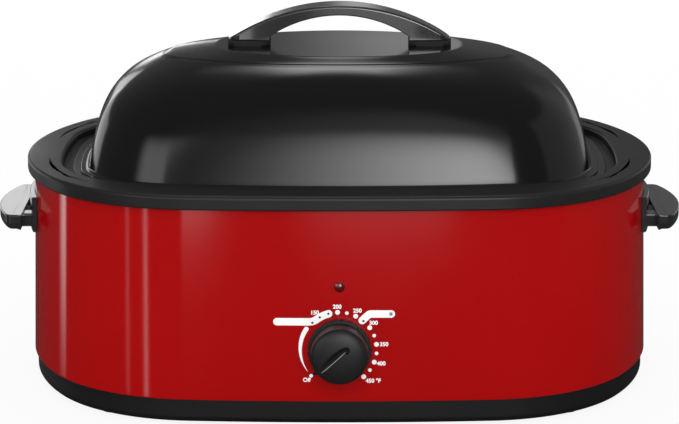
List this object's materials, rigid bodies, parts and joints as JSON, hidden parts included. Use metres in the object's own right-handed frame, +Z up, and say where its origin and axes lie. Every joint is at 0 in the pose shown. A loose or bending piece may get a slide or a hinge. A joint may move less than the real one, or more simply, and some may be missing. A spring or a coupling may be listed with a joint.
{
  "type": "electric roaster oven",
  "caption": "Oblong countertop roaster oven with a flared casing, moulded rim collar, lift-out pan and rack, high lift-off domed lid, end grips and a thermostat knob.",
  "frame": {"origin": "centre of the box on the table plane, under the middle of the oven", "axes": "+Z up, front with the knob towards -Y, long axis along X"},
  "size_m": [0.596, 0.4214, 0.3241],
  "materials": {
    "red_enamel": "glossy red enamel on steel",
    "collar_black": "satin black heat-resisting moulding",
    "base_black": "fine-grained matte black moulding",
    "handle_black": "satin black phenolic moulding",
    "knob_black": "satin black moulding",
    "lid_enamel": "semi-gloss black enamel on steel",
    "pan_enamel": "black enamel on steel",
    "aluminised_steel": "aluminised sheet steel",
    "screw_steel": "zinc-plated steel",
    "heater_steel": "oxidised resistance band",
    "glass_fibre": "needled glass fibre",
    "switch_moulding": "brown phenolic",
    "copper": "bright copper",
    "lens_red": "clear dark red",
    "porcelain": "unglazed porcelain",
    "lead_insulation": "white silicone",
    "rack_chrome": "bright plated wire",
    "gasket_rubber": "matte black silicone",
    "foot_rubber": "matte black rubber"
  },
  "bodies": {
    "housing": {"base_tray": "base_black", "casing_front": "red_enamel", "casing_rear": "red_enamel", "rim_collar": "collar_black", "inner_liner": "aluminised_steel", "liner_screws": "screw_steel", "heating_band": "heater_steel", "insulation_blanket": "glass_fibre", "floor_insulation": "glass_fibre", "heat_shield": "aluminised_steel", "shield_posts": "screw_steel", "tie_bolts": "screw_steel", "side_handle_left": "handle_black", "side_handle_right": "handle_black", "handle_screws": "screw_steel", "thermostat_bracket": "screw_steel", "thermostat_body": "switch_moulding", "thermostat_screws": "screw_steel", "thermostat_nuts": "screw_steel", "capillary_sensor": "copper", "sensor_clip": "screw_steel", "indicator_lens": "lens_red", "indicator_lamp": "switch_moulding", "cord_gland": "base_black", "terminal_block": "porcelain", "thermal_fuse": "glass_fibre", "internal_leads": "lead_insulation", "foot_front_left": "foot_rubber", "foot_front_right": "foot_rubber", "foot_rear_left": "foot_rubber", "foot_rear_right": "foot_rubber"},
    "knob": {"control_knob": "knob_black", "thermostat_shaft": "screw_steel", "knob_clip": "screw_steel"},
    "pan": {"cooking_pan": "pan_enamel"},
    "rack": {"roasting_rack": "rack_chrome", "rack_handle_left": "rack_chrome", "rack_handle_right": "rack_chrome"},
    "lid": {"lid_shell": "lid_enamel", "lid_handle": "handle_black", "handle_gasket_left": "gasket_rubber", "handle_gasket_right": "gasket_rubber", "lid_handle_screws": "screw_steel"}
  },
  "joints": [
    {"name": "knob_turn", "type": "hinge", "parent": "housing", "child": "knob", "pos_m": [0, -0.18465, 0.0674], "axis": [0, 1, 0], "range_deg": [0, 271]},
    {"name": "pan_lift", "type": "slide", "parent": "housing", "child": "pan", "axis": [0, 0, 1], "range_m": [0, 0.16]},
    {"name": "rack_lift", "type": "slide", "parent": "pan", "child": "rack", "axis": [0, 0, 1], "range_m": [0, 0.15]},
    {"name": "lid_lift", "type": "slide", "parent": "rack", "child": "lid", "axis": [0, 0, 1], "range_m": [0, 0.15]}
  ]
}
